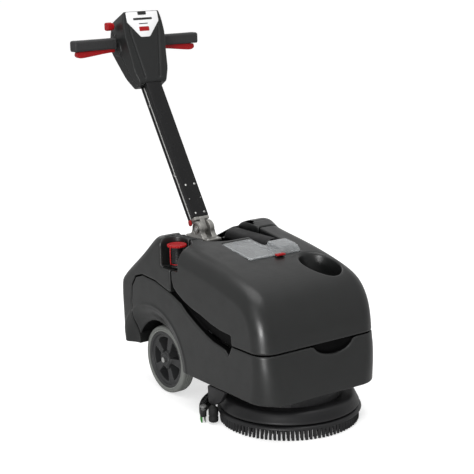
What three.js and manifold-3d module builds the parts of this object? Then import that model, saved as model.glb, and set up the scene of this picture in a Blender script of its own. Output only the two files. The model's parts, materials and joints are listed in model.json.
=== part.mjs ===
// Compact walk-behind floor scrubber-dryer, battery powered.
// Millimetres, +Z up, front towards -Y. The machine is drawn around its brush axis (x = 0, y = 0)
// with the floor at z = 0, and is moved at the end so that the origin lies under its middle.
import * as THREE from 'three';
import { mergeVertices } from 'three/addons/utils/BufferGeometryUtils.js';
import Module from 'manifold-3d';

const wasm = await Module();
wasm.setup();

// ---------------------------------------------------------------- driving dimensions
const CLEAR = 0.4;                  // gap between pieces that touch
const SEAM = 3;                     // open joint between the body mouldings
const WALL = 5;                     // moulding wall
const BODY_HALF = 206;              // half width of the body
const BODY_ROUND = 55;              // rounding of the shoulders and upright corners
const BRUSH_R = 200;                // bristle radius
const BRUSH_H = 31;                 // height of the brush's lower flange
const WHEEL = { r: 102.6, y: 393, inner: 124, outer: 166, tread: 16 };
const ARCH_R = 123;                 // wheel arch radius
const ARCH_X = 112;                 // inner face of the wheel arch
const ARCH_DISH = { edge: 124, outer: 168, x: 183 };
const PIVOT = { y: 410, z: 480 };   // handle hinge axis
const LEAN = THREE.MathUtils.degToRad(32.3);
const COLUMN = { half: 27, front: -11.5, back: 26.5, start: 36.5, end: 560 };
const BAR = { n: 6.8, s: 644, r: 11, half: 214 };
const GRIP = { inner: 78, outer: 226, deep: 36, tall: 34 };
const FILLER = { x: -171, y: 296, r: 17, low: 411, high: 470 };
const LID = { x0: -70, x1: 112, y0: 75, y1: 218, stepX: 34, stepY: 155, z: 452, front: 458, back: 476 };
const SQUEEGEE = { centre: 3.2, inner: 237, middle: 246, outer: 255, end: 23.5, low: 18, high: 38 };
const BUMPER = { x: 204, y: 85 };
const NECK_Y = SQUEEGEE.centre + SQUEEGEE.middle;   // suction neck of the squeegee
const SLOPE = { y: 470, z: 408, tilt: THREE.MathUtils.degToRad(36) };   // middle of the rear slope

// ---------------------------------------------------------------- materials
const paint = (name, color, roughness, metalness = 0) =>
  Object.assign(new THREE.MeshStandardMaterial({ color, roughness, metalness }), { name });
const BODY = paint('body_plastic', 0x3b3d3c, 0.45);
const BLACK = paint('black_plastic', 0x1c1d1e, 0.5);
const COLUMN_BLACK = paint('column_coating', 0x232426, 0.4, 0.3);
const RED = paint('red_plastic', 0xc8242a, 0.4);
const STEEL = paint('bright_steel', 0xb9bab8, 0.3, 0.9);
const CAST = paint('cast_aluminium', 0xbcbab4, 0.45, 0.7);
const TYRE = paint('grey_tyre', 0x96989a, 0.8);
const HUB = paint('hub_plastic', 0x2c2d2e, 0.55);
const CLEAR_LID = paint('clear_plastic', 0xd4d7d8, 0.15);
const LABEL = paint('label_white', 0xe9e9e8, 0.5);
const BRISTLE = paint('bristle', 0x2b2c2d, 0.9);
const GREEN = paint('green_rubber', 0x2f8f2e, 0.7);
const MOTOR = paint('motor_grey', 0x77797a, 0.5, 0.4);
const BOARD = paint('circuit_board', 0x23603a, 0.7);

// ---------------------------------------------------------------- solid helpers
function solid(geometry) {
  const bare = geometry.clone();
  bare.deleteAttribute('normal');
  bare.deleteAttribute('uv');
  const merged = mergeVertices(bare, 1e-4);
  return new wasm.Manifold(new wasm.Mesh({
    numProp: 3,
    vertProperties: new Float32Array(merged.attributes.position.array),
    triVerts: new Uint32Array(merged.index.array),
  }));
}

function geometryOf(manifold) {
  const mesh = manifold.getMesh();
  const geometry = new THREE.BufferGeometry();
  geometry.setAttribute('position', new THREE.BufferAttribute(new Float32Array(mesh.vertProperties), 3));
  geometry.setIndex(new THREE.BufferAttribute(new Uint32Array(mesh.triVerts), 1));
  geometry.computeVertexNormals();
  return geometry;
}

const outline = (points) => new THREE.Shape(points.map(([a, b]) => new THREE.Vector2(a, b)));
const X = new THREE.Vector3(1, 0, 0);
const Y = new THREE.Vector3(0, 1, 0);
const Z = new THREE.Vector3(0, 0, 1);

// Upright prism on an (x, y) outline.
function prismZ(shape, z0, z1, curveSegments = 12) {
  const geometry = new THREE.ExtrudeGeometry(shape, { depth: z1 - z0, bevelEnabled: false, curveSegments });
  return geometry.translate(0, 0, z0);
}

// Prism along X on a (y, z) outline.
function prismX(shape, x0, x1, curveSegments = 12) {
  const geometry = new THREE.ExtrudeGeometry(shape, { depth: x1 - x0, bevelEnabled: false, curveSegments });
  return geometry.applyMatrix4(new THREE.Matrix4().makeBasis(Y, Z, X)).translate(x0, 0, 0);
}

// Prism along Y on an (x, z) outline.
function prismY(shape, y0, y1, curveSegments = 12) {
  const geometry = new THREE.ExtrudeGeometry(shape, { depth: y1 - y0, bevelEnabled: false, curveSegments });
  return geometry.applyMatrix4(new THREE.Matrix4().makeBasis(X, Z, Y.clone().negate())).translate(0, y1, 0);
}

function box(x0, x1, y0, y1, z0, z1) {
  const geometry = new THREE.BoxGeometry(x1 - x0, y1 - y0, z1 - z0);
  return geometry.translate((x0 + x1) / 2, (y0 + y1) / 2, (z0 + z1) / 2);
}

// Cylinder along X, Y or Z between two stations, centred on the other two coordinates.
function rod(axis, r, from, to, a, b, segments = 24) {
  const geometry = new THREE.CylinderGeometry(r, r, to - from, segments);
  const middle = (from + to) / 2;
  if (axis === 'x') return geometry.rotateZ(-Math.PI / 2).translate(middle, a, b);
  if (axis === 'z') return geometry.rotateX(Math.PI / 2).translate(a, b, middle);
  return geometry.translate(a, middle, b);
}

// Body of revolution about an upright axis, from a closed (radius, z) outline.
function turned(points, segments = 48) {
  const profile = points.map(([r, z]) => new THREE.Vector2(r, z));
  if (THREE.ShapeUtils.area(profile) < 0) profile.reverse();
  profile.push(profile[0].clone());
  return new THREE.LatheGeometry(profile, segments).rotateX(Math.PI / 2);
}

function roundedRect(halfA, halfB, r, middleA = 0, middleB = 0) {
  const shape = new THREE.Shape();
  const corners = [[1, 1, 0], [-1, 1, 1], [-1, -1, 2], [1, -1, 3]];
  for (const [a, b, quarter] of corners) {
    const start = quarter * Math.PI / 2;
    shape.absarc(middleA + a * (halfA - r), middleB + b * (halfB - r), r, start, start + Math.PI / 2);
  }
  return shape;
}

const cut = (first, ...others) => others.reduce((left, other) => left.subtract(other), first);
const join = (first, ...others) => others.reduce((left, other) => left.add(other), first);

// ---------------------------------------------------------------- scene graph
const machine = new THREE.Group();

function add(name, shape, material, parent = machine) {
  const geometry = shape instanceof THREE.BufferGeometry ? shape : geometryOf(shape);
  const mesh = new THREE.Mesh(geometry, material);
  mesh.name = name;
  parent.add(mesh);
  return mesh;
}

// ---------------------------------------------------------------- body mouldings
// The closed side outline of the whole body, extended below the floor so that only its
// front, top and rear edges are rounded by the bevel.
const SILHOUETTE = [
  [-180, -90], [-175, 108], [-152, 250], [-148, 300], [-134, 350], [-104, 394], [-60, 421],
  [30, 445], [134, 465], [250, 481], [346, 500], [374, 488], [452, 416], [510, 390], [552, 358],
  [576, 328], [562, -90],
];
const TOP_SEAM = [[-12, 252], [-9, 280], [39, 283], [86, 292], [135, 306], [180, 316], [220, 330],
  [255, 347], [270, 359], [279, 382]];
const LOWER_SEAM = [[-12, 248.5], [3, 220], [22, 233], [41, 237], [79, 243], [113, 254], [162, 275],
  [206, 297], [236, 318], [267, 329], [297, 340], [365, 357], [438, 362], [475, 350], [497, 320],
  [504, 270], [502, 148]];

function block(inset) {
  const round = BODY_ROUND - inset;
  const geometry = new THREE.ExtrudeGeometry(outline(SILHOUETTE), {
    depth: 2 * (BODY_HALF - BODY_ROUND), steps: 1, bevelThickness: round, bevelSize: round,
    bevelOffset: -BODY_ROUND, bevelSegments: 4,
  });
  geometry.translate(0, 0, BODY_ROUND - BODY_HALF);
  return solid(geometry.applyMatrix4(new THREE.Matrix4().makeBasis(Y, Z, X)));
}

const SKIN = block(0);
const INNER = block(WALL);
const RECESSED = block(18);
const RECESSED_INNER = block(18 + WALL);
const across = (points) => solid(prismX(outline(points), -260, 260));
const wheelWell = (r, x) => {
  const side = (from, to) => solid(rod('x', r, from, to, WHEEL.y, WHEEL.r, 40));
  return join(side(-260, -x), side(x, 260));
};
// The side wall is dished towards the wheel, so that the arch edge stands close to the tyre.
const dish = (grow) => {
  const side = (sign) => solid(new THREE.CylinderGeometry(ARCH_DISH.outer + 12 + grow,
    ARCH_DISH.edge + grow, BODY_HALF + 8 - ARCH_DISH.x, 40)
    .rotateZ(-sign * Math.PI / 2)
    .translate(sign * ((BODY_HALF + 8 + ARCH_DISH.x) / 2 - grow / 2), WHEEL.y, WHEEL.r));
  return join(side(-1), side(1));
};
const archSpace = join(wheelWell(ARCH_R, ARCH_X), dish(0));
const archLining = join(wheelWell(ARCH_R + WALL, ARCH_X - WALL), dish(WALL));

// Finger pocket under the front seam, right of the middle.
const POCKET_X = 42;
function pocket(grow) {
  const shape = new THREE.Shape();
  shape.absellipse(POCKET_X, 252, 70 + grow, 34 + grow, Math.PI, 2 * Math.PI);
  return solid(prismY(shape, -240, -132 + grow));
}
const fillerSpace = (grow) => solid(prismZ(
  roundedRect(54 + grow, 43 + grow, 34 + grow, -192, 290), 408 - grow, 560, 8));
const fillerRecess = fillerSpace(0);
const fillerLining = fillerSpace(WALL);

function baseBody() {
  const floor = [[496, 132], [290, 124], [250, 111], [18, 110], [-260, 109]];
  const outside = SKIN.intersect(across([[-260, 248.5], ...LOWER_SEAM, ...floor]));
  const channel = [[-12, 248.5], [-12, 230], [284, 300], [284, 370], [280, 370], [266, 350],
    [252, 341], [217, 325], [177, 311], [133, 301], [84, 287], [38, 278], [-6, 275], [-9, 248.5]];
  const lining = RECESSED.intersect(across(channel));
  const room = [[-260, 300], [-20, 300], [-16, 236], [3, 214], [79, 236], [206, 290], [297, 334],
    [330, 400], [494, 400], [494, 153], [290, 129], [250, 116], [-260, 115]];
  const upper = [[-20, 300], [-20, 205], [300, 205], [300, 400], [262, 400], [200, 340], [30, 300]];
  const hollow = cut(join(INNER.intersect(across(room)), RECESSED_INNER.intersect(across(upper))),
    archLining, pocket(WALL));
  const openings = [
    solid(rod('z', 82, 90, 130, 0, 0, 32)),
    solid(box(-30, 30, 222, 278, 90, 136)),
    solid(box(-102, 102, 292, 484, 100, 170)),
  ];
  return cut(join(outside, lining), hollow, archSpace, pocket(0), ...openings);
}

// The lid is a flat panel on the left with a raised box in front of the duct on the right.
function lidOutline(grow) {
  const { x0, x1, y0, y1, stepX, stepY } = LID;
  const [low, high] = [y0 - grow, y1 + grow];
  return outline([[x0 - grow, low], [x1 + grow, low], [x1 + grow, stepY + grow],
    [stepX + grow, stepY + grow], [stepX + grow, high], [x0 - grow, high]]);
}

// Trough in which the air duct lies, and the dip between the shoulders.
const trough = (grow) => solid(box(38 - grow, 114 + grow, 158 - grow, 390, 449.6 - grow, 640));
const dip = (drop) => solid(prismY(outline([[-150, 492], [-36, 456], [36, 456], [150, 492],
  [150, 640], [-150, 640]]), 224, 300)).translate(0, 0, -drop);

function recoveryTank() {
  const outside = SKIN.intersect(across([[-260, 252], ...TOP_SEAM, [279, 600], [-260, 600]]));
  const room = INNER.intersect(across([[-260, 258], [-18, 258], [-14, 286], [39, 289], [86, 298],
    [135, 312], [180, 322], [220, 336], [250, 351], [264, 362], [274, 384], [274, 600], [-260, 600]]));
  const mouth = solid(prismZ(lidOutline(-8), 430, 600));
  const seat = solid(prismZ(lidOutline(1), LID.z, 600));
  const rim = solid(prismZ(lidOutline(6), LID.z - 6, 600));
  const cup = (grow) => solid(cupGeometry(grow));
  const hollow = cut(room, cup(WALL), rim, fillerLining, trough(WALL), dip(WALL));
  return cut(outside, hollow, mouth, seat, cup(0), fillerRecess, trough(0), dip(0));
}

// Fill recess in the top of the tank: an oval bowl, narrower at the bottom.
function cupGeometry(grow) {
  const geometry = new THREE.CylinderGeometry(1, 0.8, 160 + grow, 32);
  geometry.rotateX(Math.PI / 2).translate(0, 0, (160 + grow) / 2 + 372 - grow);
  return geometry.scale(56 + grow, 71 + grow, 1).rotateZ(0.12).translate(112, -11, 0);
}

function rearHousing() {
  const lower = LOWER_SEAM.slice(10).map(([y, z]) => [y + 3, z + SEAM]);
  const outside = SKIN.intersect(across([[287, 600], [287, 341], ...lower,
    [505, 130], [700, 130], [700, 600]]));
  const room = INNER.intersect(across([[292, 600], [292, 330], [300, 330], [438, 300], [700, 330],
    [700, 600]]));
  const low = INNER.intersect(across([[512, 400], [512, 100], [700, 100], [700, 400]]));
  const valleyShape = outline([[-150, 505], [0, 440], [150, 505], [150, 640], [-150, 640]]);
  const valley = (drop) => solid(prismY(valleyShape, 286, 640)).translate(0, 0, -drop);
  const hollow = cut(join(room, low), valley(WALL), trough(WALL), fillerLining);
  const shell = cut(outside, hollow, valley(0), trough(0), fillerRecess);
  const postHole = solid(box(-32, 32, 345, 474, 300, 640));
  return cut(shell, postHole, batterySpace());
}

// The battery stands square to the rear slope, on the left of the machine.
function onSlope(geometry) {
  return geometry.rotateX(-SLOPE.tilt).translate(0, SLOPE.y, SLOPE.z);
}
const batterySpace = () => solid(onSlope(box(-163, -67, -47, 47, -130, 60)));

add('base_body', baseBody(), BODY);
add('rear_housing', rearHousing(), BODY);
add('recovery_tank', recoveryTank(), BODY);

// ---------------------------------------------------------------- tank fittings
function clearLid() {
  const [low, wall] = [LID.z + CLEAR, 4];
  const wedge = (y0, y1, z, drop) => solid(prismX(outline([[y0, z], [y1, z], [y1, LID.back - drop],
    [y0, LID.front - drop]]), -260, 260));
  const shell = wedge(LID.y0, LID.y1, low, 0).intersect(solid(prismZ(lidOutline(-CLEAR), low, 600)));
  const room = wedge(LID.y0, LID.y1, low - 2, wall)
    .intersect(solid(prismZ(lidOutline(-CLEAR - wall), low - 2, 600)));
  const plate = shell.subtract(room);
  const hood = outline([[77, LID.z + 4], [150, LID.z + 4], [150, 480], [95, 474], [82, 466]]);
  const hollow = outline([[81, LID.z - 2], [146, LID.z - 2], [146, 476], [96, 470], [85, 463]]);
  return cut(join(plate, solid(prismX(hood, 42, 110))), solid(prismX(hollow, 46, 106)));
}

// Half-round duct that carries air from the lid back to the vacuum motor.
function airDuct() {
  const section = (r) => {
    const shape = new THREE.Shape();
    shape.absarc(0, 0, r, 0, Math.PI);
    return shape;
  };
  const outer = solid(prismY(section(34), 160, 372, 10).scale(1, 1, 0.9));
  const inner = solid(prismY(section(30), 150, 366, 10).scale(1, 1, 0.9));
  return cut(outer, inner).translate(76, 0, 450);
}

add('clear_lid', clearLid(), CLEAR_LID);
add('lid_latch', box(12, 42, 58, 73, 454.8, 461), RED);
add('float_cage', turned([[18, 395], [26, 395], [26, 449], [18, 449]], 20).translate(76, 112, 0), BLACK);
add('air_duct', airDuct(), BLACK);

// Filler neck in its recess, with the tethered push-in cap.
const neckRing = [[12, FILLER.low], [FILLER.r, FILLER.low], [FILLER.r, FILLER.high], [12, FILLER.high]];
const fillerAt = (geometry) => geometry.translate(FILLER.x, FILLER.y, 0);
add('filler_neck', fillerAt(turned(neckRing, 24)), BLACK);
const capOutline = [[0, FILLER.high - 8], [11.4, FILLER.high - 8], [11.4, FILLER.high + CLEAR],
  [29, FILLER.high + CLEAR], [29, FILLER.high + 8], [0, FILLER.high + 8]];
add('filler_cap', fillerAt(turned(capOutline, 28)), RED);
const tetherPath = new THREE.CatmullRomCurve3([[-17.5, 6, 420], [-27, 2, 428], [-31, -4, 446],
  [-31, -8, 464], [-29.5, -8, 476]].map(([x, y, z]) => new THREE.Vector3(FILLER.x + x, FILLER.y + y, z)));
const tetherSection = new THREE.Shape();
tetherSection.absellipse(0, 0, 1.6, 1.6, 0, 2 * Math.PI);
add('cap_tether', new THREE.ExtrudeGeometry(tetherSection,
  { steps: 12, extrudePath: tetherPath, curveSegments: 4 }), RED);

add('battery_pack', onSlope(box(-161, -69, -45, 45, -118, 5)), BLACK);

// ---------------------------------------------------------------- chassis
function chassisPlate() {
  const plate = solid(box(-100, 100, 60, 480, 132, 137));
  const slot = solid(box(-34, 34, 218, 282, 120, 150));
  return cut(plate, slot);
}
add('chassis_plate', chassisPlate(), STEEL);
const postWalls = (half, y0, y1) => solid(box(-half, half, y0, y1, 137 + CLEAR, 447.6));
add('handle_post', cut(postWalls(30, 360, 460), solid(box(-26, 26, 364, 456, 120, 442))), BLACK);

function lowerHinge() {
  const side = new THREE.Shape();
  side.moveTo(352, 448);
  side.lineTo(468, 448);
  side.lineTo(468, 456);
  side.lineTo(PIVOT.y + 22, PIVOT.z - 10);
  side.absarc(PIVOT.y, PIVOT.z, 24, -0.43, Math.PI + 0.43);
  side.lineTo(352, 459);
  const slot = solid(box(-9, 9, 380, 436, 458, 520));
  const bore = solid(rod('x', 5.4, -40, 40, PIVOT.y, PIVOT.z, 24));
  return cut(solid(prismX(side, -27, 27)), slot, bore);
}
add('lower_hinge', lowerHinge(), CAST);
add('hinge_pin', rod('x', 5, -28, 28, PIVOT.y, PIVOT.z, 24), STEEL);

const axleBore = solid(rod('x', 8.4, -120, 120, WHEEL.y, WHEEL.r));
for (const [side, sign] of [['l', -1], ['r', 1]]) {
  const bracket = box(-4, 4, WHEEL.y - 28, WHEEL.y + 28, 86, 132 - CLEAR).translate(sign * 92, 0, 0);
  add(`axle_bracket_${side}`, cut(solid(bracket), axleBore), STEEL);
}
add('axle', rod('x', 8, -172, 172, WHEEL.y, WHEEL.r), STEEL);

add('gearbox', turned([[0, 78.4], [70, 78.4], [70, 84], [56, 90], [56, 131.6], [0, 131.6]], 32), MOTOR);
add('brush_motor', turned([[0, 139], [48, 139], [48, 232], [42, 238], [0, 238]], 32), MOTOR);
const HOOD = [[40, 72], [172, 72], [186, 46], [198, 46], [194, 58], [184, 76], [178, 77.5], [40, 77.5]];
add('splash_hood', turned(HOOD, 48), BODY);
add('deck_ring', turned([[120, 78], [150, 78], [150, 105.6], [120, 105.6]], 40), BLACK);
add('vacuum_motor', turned([[0, 190], [44, 190], [44, 262], [30, 276], [0, 276]], 28)
  .translate(60, 320, 0), MOTOR);
add('solution_pump', box(-92, -40, 296, 340, 138, 186), MOTOR);
add('control_board', box(60, 64, 380, 470, 190, 300), BOARD);
const hoseRing = [[13, 136], [18, 136], [18, 290], [13, 290]];
add('suction_hose', turned(hoseRing, 20).translate(0, NECK_Y, 0), BLACK);
for (const [side, sign] of [['l', -1], ['r', 1]]) {
  const plate = outline([[22, 109], [110, 109], [106, 56], [76, 56], [44, 76]]);
  add(`side_bracket_${side}`, prismX(plate, -7, 7).translate(sign * 199, 0, 0), BLACK);
  add(`side_bumper_${side}`, turned([[0, 6], [12, 6], [14, 10], [14, 46], [9, 50], [0, 55.6]], 18)
    .translate(sign * BUMPER.x, BUMPER.y, 0), BLACK);
}

// ---------------------------------------------------------------- brush
const DISC = [[0, 44], [24, 44], [24, 58], [60, 58], [66, 44], [168, 42], [196, 42], [205, 37],
  [205, BRUSH_H], [202, 27], [0, 27]];
add('brush_disc', turned(DISC, 56), BLACK);
add('bristle_ring', turned([[96, 0.3], [BRUSH_R, 0.3], [196, 26.6], [96, 26.6]], 56), BRISTLE);
add('drive_coupling', turned([[0, 44.4], [20, 44.4], [20, 70], [14, 78], [0, 78]], 24), STEEL);

// ---------------------------------------------------------------- wheels
const hubFace = (r) => [[14, 126], [r, 126], [r, 164], [r - 8, 164], [r - 14, 150], [30, 150], [26, 168],
  [14, 168]];
function wheelHub() {
  const hub = solid(turned(hubFace(WHEEL.r - WHEEL.tread - CLEAR), 40));
  const windows = [];
  for (let i = 0; i < 5; i++) {
    const turn = i * 2 * Math.PI / 5;
    const wedge = new THREE.Shape();
    wedge.absarc(0, 0, 60, turn - 0.3, turn + 0.3);
    wedge.absarc(0, 0, 34, turn + 0.22, turn - 0.22, true);
    windows.push(solid(prismZ(wedge, 100, 180, 6)));
  }
  return cut(hub, solid(rod('z', 8.4, 100, 180, 0, 0)), ...windows);
}
function tyre() {
  const { r, tread, inner, outer } = WHEEL;
  return turned([[r - tread, inner], [r - 5, inner], [r, inner + 5], [r, outer - 5], [r - 5, outer],
    [r - tread, outer]], 56);
}
for (const [side, sign] of [['l', -1], ['r', 1]]) {
  const wheel = new THREE.Group();
  wheel.rotation.y = sign * Math.PI / 2;
  wheel.position.set(0, WHEEL.y, WHEEL.r);
  machine.add(wheel);
  add(`tyre_${side}`, tyre(), TYRE, wheel);
  add(`wheel_hub_${side}`, wheelHub(), HUB, wheel);
}

// ---------------------------------------------------------------- squeegee behind the brush
const SQ_END = THREE.MathUtils.degToRad(SQUEEGEE.end);
function arcBand(inner, outer, end, z0, z1) {
  const shape = new THREE.Shape();
  shape.absarc(0, 0, outer, end, Math.PI - end);
  shape.absarc(0, 0, inner, Math.PI - end, end, true);
  return prismZ(shape, z0, z1, 20);
}
const atSqueegee = (geometry) => geometry.translate(0, SQUEEGEE.centre, 0);
const bladeEnd = SQ_END + 0.03;
const { low: SQ_LOW, high: SQ_HIGH } = SQUEEGEE;
add('squeegee_body', atSqueegee(arcBand(SQUEEGEE.inner, SQUEEGEE.outer, SQ_END, SQ_LOW, SQ_HIGH)), BLACK);
const blade = (inner, outer) => atSqueegee(arcBand(inner, outer, bladeEnd, CLEAR, SQ_LOW - CLEAR));
add('squeegee_blade_front', blade(SQUEEGEE.inner + 2, SQUEEGEE.inner + 5), TYRE);
add('squeegee_blade_rear', blade(SQUEEGEE.outer - 6, SQUEEGEE.outer - 2), GREEN);
const neckLow = SQ_HIGH + CLEAR;
add('squeegee_neck', turned([[9, neckLow], [16, neckLow], [16, 92], [9, 92]], 20).translate(0, NECK_Y, 0),
  BLACK);
const knobOutline = [[0, 0], [6, 0], [6, 5.6], [10, 7.6], [10, 11.6], [0, 13.6]]
  .map(([r, z]) => [r, z + neckLow]);
for (const [side, angle] of [['l', Math.PI - SQ_END - 0.04], ['r', SQ_END + 0.04]]) {
  add(`squeegee_knob_${side}`, atSqueegee(turned(knobOutline, 16)
    .translate(SQUEEGEE.middle * Math.cos(angle), SQUEEGEE.middle * Math.sin(angle), 0)), MOTOR);
}

// ---------------------------------------------------------------- handle
// Drawn upright at the hinge (z along the column, y to the rear), then leaned back.
const handle = new THREE.Group();
handle.position.set(0, PIVOT.y, PIVOT.z);
handle.rotation.x = -LEAN;
machine.add(handle);

function columnTube() {
  const { half, front, back, start, end } = COLUMN;
  const shape = outline([[-half, front], [half, front], [half, 5], [half - 9, 5], [half - 9, 20],
    [half, 20], [half, back], [-half, back], [-half, 20], [9 - half, 20], [9 - half, 5], [-half, 5]]);
  const bore = box(-14, 14, front + 3, back - 3, start - 1, end + 1);
  return cut(solid(prismZ(shape, start, end)), solid(bore));
}
add('column', columnTube(), COLUMN_BLACK, handle);
for (const [side, sign] of [['l', -1], ['r', 1]]) {
  add(`side_rail_${side}`, rod('z', 3, COLUMN.start, 488, sign * 22, 15, 10), STEEL, handle);
}

function upperHinge() {
  const { half, front, back } = COLUMN;
  const head = solid(box(-half, half, front, back, 25, 36.1));
  const lug = solid(prismX(roundedRect(12, 24, 11.9, 0, 12), -8.6, 8.6, 8));
  return cut(join(head, lug), solid(rod('x', 5.4, -40, 40, 0, 0)));
}
add('upper_hinge', upperHinge(), CAST, handle);
const leverOutline = roundedRect(7, 10, 6, 14, 26);
add('release_lever', prismX(leverOutline, -34, -27.6, 6), RED, handle);

// Console: a wedge-shaped head in two shells that meet on the handlebar.
const CONSOLE_SIDE = [[-12, 491], [-16, 497], [-79, 706], [2, 716], [24, 690], [49, 636], [46, 591],
  [33, 505], [31, 491]];
const CONSOLE_FRONT = [[-46, 485], [46, 485], [62, 530], [68, 596], [74, 640], [70, 684], [60, 720],
  [-60, 720], [-70, 684], [-74, 640], [-68, 596], [-62, 530]];
const consoleBlock = solid(prismX(outline(CONSOLE_SIDE), -80, 80))
  .intersect(solid(prismY(outline(CONSOLE_FRONT), -120, 80)));
const consoleRoom = solid(prismX(outline([[-30, 570], [-66, 700], [0, 706], [18, 684], [42, 634],
  [40, 592], [34, 570]]), -54, 54));
const columnHole = solid(box(-28, 28, -12.1, 27, 480, 561));
const barHole = solid(rod('x', BAR.r + CLEAR, -260, 260, BAR.n, BAR.s));
const consoleShell = cut(consoleBlock, consoleRoom, columnHole, barHole);
const frontHalf = solid(box(-100, 100, -150, BAR.n - 0.2, 400, 800));
const rearHalf = solid(box(-100, 100, BAR.n + 0.2, 150, 400, 800));
const labelSeat = labelPlate(0.4, -1.2);
add('console_front', cut(consoleShell.intersect(frontHalf), labelSeat), BODY, handle);
add('console_rear', consoleShell.intersect(rearHalf), BODY, handle);
add('label_plate', labelPlate(0, -0.8), LABEL, handle);
add('handlebar', rod('x', BAR.r, -BAR.half, BAR.half, BAR.n, BAR.s), STEEL, handle);

// Shield-shaped plate let into the console's sloping front, from the given depth to just proud of it.
function labelPlate(grow, depth) {
  const [top, wide] = [-3 + grow, 57 + grow];
  const shield = outline([[-wide, top], [-wide, -34], [-16, -82 - grow], [16, -82 - grow],
    [wide, -34], [wide, top]]);
  const slab = new THREE.ExtrudeGeometry(shield, { depth: 0.4 - depth, bevelEnabled: false });
  const faceTilt = Math.atan2(63, 209);
  return solid(slab.translate(0, 0, depth).rotateX(Math.PI / 2 + faceTilt).translate(0, -79, 706));
}

// The grips, triggers and knob are drawn upright around the handlebar.
const bar = new THREE.Group();
bar.position.set(0, BAR.n, BAR.s);
bar.rotation.x = LEAN;
handle.add(bar);

function grip() {
  const block = solid(prismX(roundedRect(GRIP.deep / 2, GRIP.tall / 2, 12), GRIP.inner, GRIP.outer, 4));
  const hole = solid(rod('x', BAR.r + CLEAR, 0, BAR.half + 2, 0, 0));
  const slot = solid(box(GRIP.inner - 2, GRIP.outer - 10, -11, 11, -40, -12.5));
  return cut(block, hole, slot);
}
function trigger() {
  const side = outline([[80, -14.6], [214, -17.4], [217, -30], [206, -38], [186, -37],
    [110, -28], [80, -26]]);
  return prismY(side, -9.5, 9.5);
}
for (const [side, sign] of [['l', -1], ['r', 1]]) {
  const arm = new THREE.Group();
  arm.rotation.z = sign < 0 ? Math.PI : 0;
  bar.add(arm);
  add(`grip_${side}`, grip(), BLACK, arm);
  add(`trigger_${side}`, trigger(), RED, arm);
}
add('dosing_knob', rod('x', 14, -100, -75, 8, 52), RED, bar);

const group = new THREE.Group();
group.add(machine);
const bounds = new THREE.Box3().setFromObject(group, true);
const middle = bounds.getCenter(new THREE.Vector3());
machine.position.set(0, -middle.y, 0);
group.updateMatrixWorld(true);
export default group;
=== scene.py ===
import json
import math

import bpy
import numpy as np
from mathutils import Matrix, Vector


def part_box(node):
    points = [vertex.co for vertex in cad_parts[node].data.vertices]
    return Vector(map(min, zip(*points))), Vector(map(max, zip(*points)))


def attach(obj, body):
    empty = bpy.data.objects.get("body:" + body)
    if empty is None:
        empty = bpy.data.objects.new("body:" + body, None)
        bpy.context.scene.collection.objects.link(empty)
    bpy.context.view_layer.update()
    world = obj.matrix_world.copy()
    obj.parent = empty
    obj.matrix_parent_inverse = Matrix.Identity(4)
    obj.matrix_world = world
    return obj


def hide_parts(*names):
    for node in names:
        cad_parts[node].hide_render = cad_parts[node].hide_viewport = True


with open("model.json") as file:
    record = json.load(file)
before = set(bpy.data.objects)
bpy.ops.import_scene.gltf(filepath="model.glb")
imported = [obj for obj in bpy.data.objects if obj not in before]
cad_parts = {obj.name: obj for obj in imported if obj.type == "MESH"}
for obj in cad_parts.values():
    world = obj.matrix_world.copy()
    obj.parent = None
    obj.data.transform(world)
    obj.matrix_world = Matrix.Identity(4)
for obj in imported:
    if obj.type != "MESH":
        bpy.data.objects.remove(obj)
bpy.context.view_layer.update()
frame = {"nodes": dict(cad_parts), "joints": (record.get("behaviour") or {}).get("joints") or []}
NODES = frame["nodes"]
MM = 0.001

# Everything below is drawn in millimetres around the brush axis: x to the right seen from the front,
# y to the rear, z up from the floor. row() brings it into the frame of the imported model.
brush_low, brush_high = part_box("brush_disc")
BRUSH_Y = (brush_low.y + brush_high.y) / 2


def middle_of(node):
    """The middle of a node's box, in millimetres round the brush axis."""
    low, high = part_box(node)
    return (low.x + high.x) / 2 / MM, ((low.y + high.y) / 2 - BRUSH_Y) / MM, (low.z + high.z) / 2 / MM


def radius_of(node):
    low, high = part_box(node)
    return (high.z - low.z) / 2 / MM


WHEEL_R = radius_of("tyre_l")
WHEEL_Y, WHEEL_Z = middle_of("tyre_l")[1:]
BODY_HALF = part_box("base_body")[1].x / MM
joint_at = {j["name"]: Vector(j["pos_m"]) for j in frame["joints"] if "pos_m" in j}
PIVOT_Y = (joint_at["handle_tilt"].y - BRUSH_Y) / MM
PIVOT_Z = joint_at["handle_tilt"].z / MM
BAR_Y, BAR_Z = middle_of("handlebar")[1:]
LEAN = math.radians(32.3)


def row(points):
    out = np.asarray(points, float) * MM
    out[..., 1] += BRUSH_Y
    return out


# ---------------------------------------------------------------- camera and studio
def link(tree, source, target):
    tree.links.new(source, target)


def settings(node, **values):
    """Sets the values of a shader node's own sockets, with _ for the spaces in their names."""
    for key, value in values.items():
        node.inputs[key.replace("_", " ")].default_value = value
    return node


CAMERA_AT = (-2189.3, -2833.5, 1348.6)
CAMERA_AIM = (32.16, 281.63, 469.59)
CAMERA_LENS, CAMERA_ROLL = 100.73, math.radians(-1.36)


def added(name, data):
    obj = bpy.data.objects.new(name, data)
    bpy.context.scene.collection.objects.link(obj)
    return obj


def aimed(place, target):
    """A turn and place that looks from one point to another."""
    turn = (target - place).to_track_quat("-Z", "Y").to_matrix().to_4x4()
    return Matrix.Translation(place) @ turn


def camera():
    data = bpy.data.cameras.new("camera")
    data.lens = CAMERA_LENS
    data.sensor_width = 36
    data.clip_end = 100
    obj = added("camera", data)
    view = aimed(Vector(row(CAMERA_AT)), Vector(row(CAMERA_AIM)))
    obj.matrix_world = view @ Matrix.Rotation(CAMERA_ROLL, 4, "Z")
    bpy.context.scene.camera = obj


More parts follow.
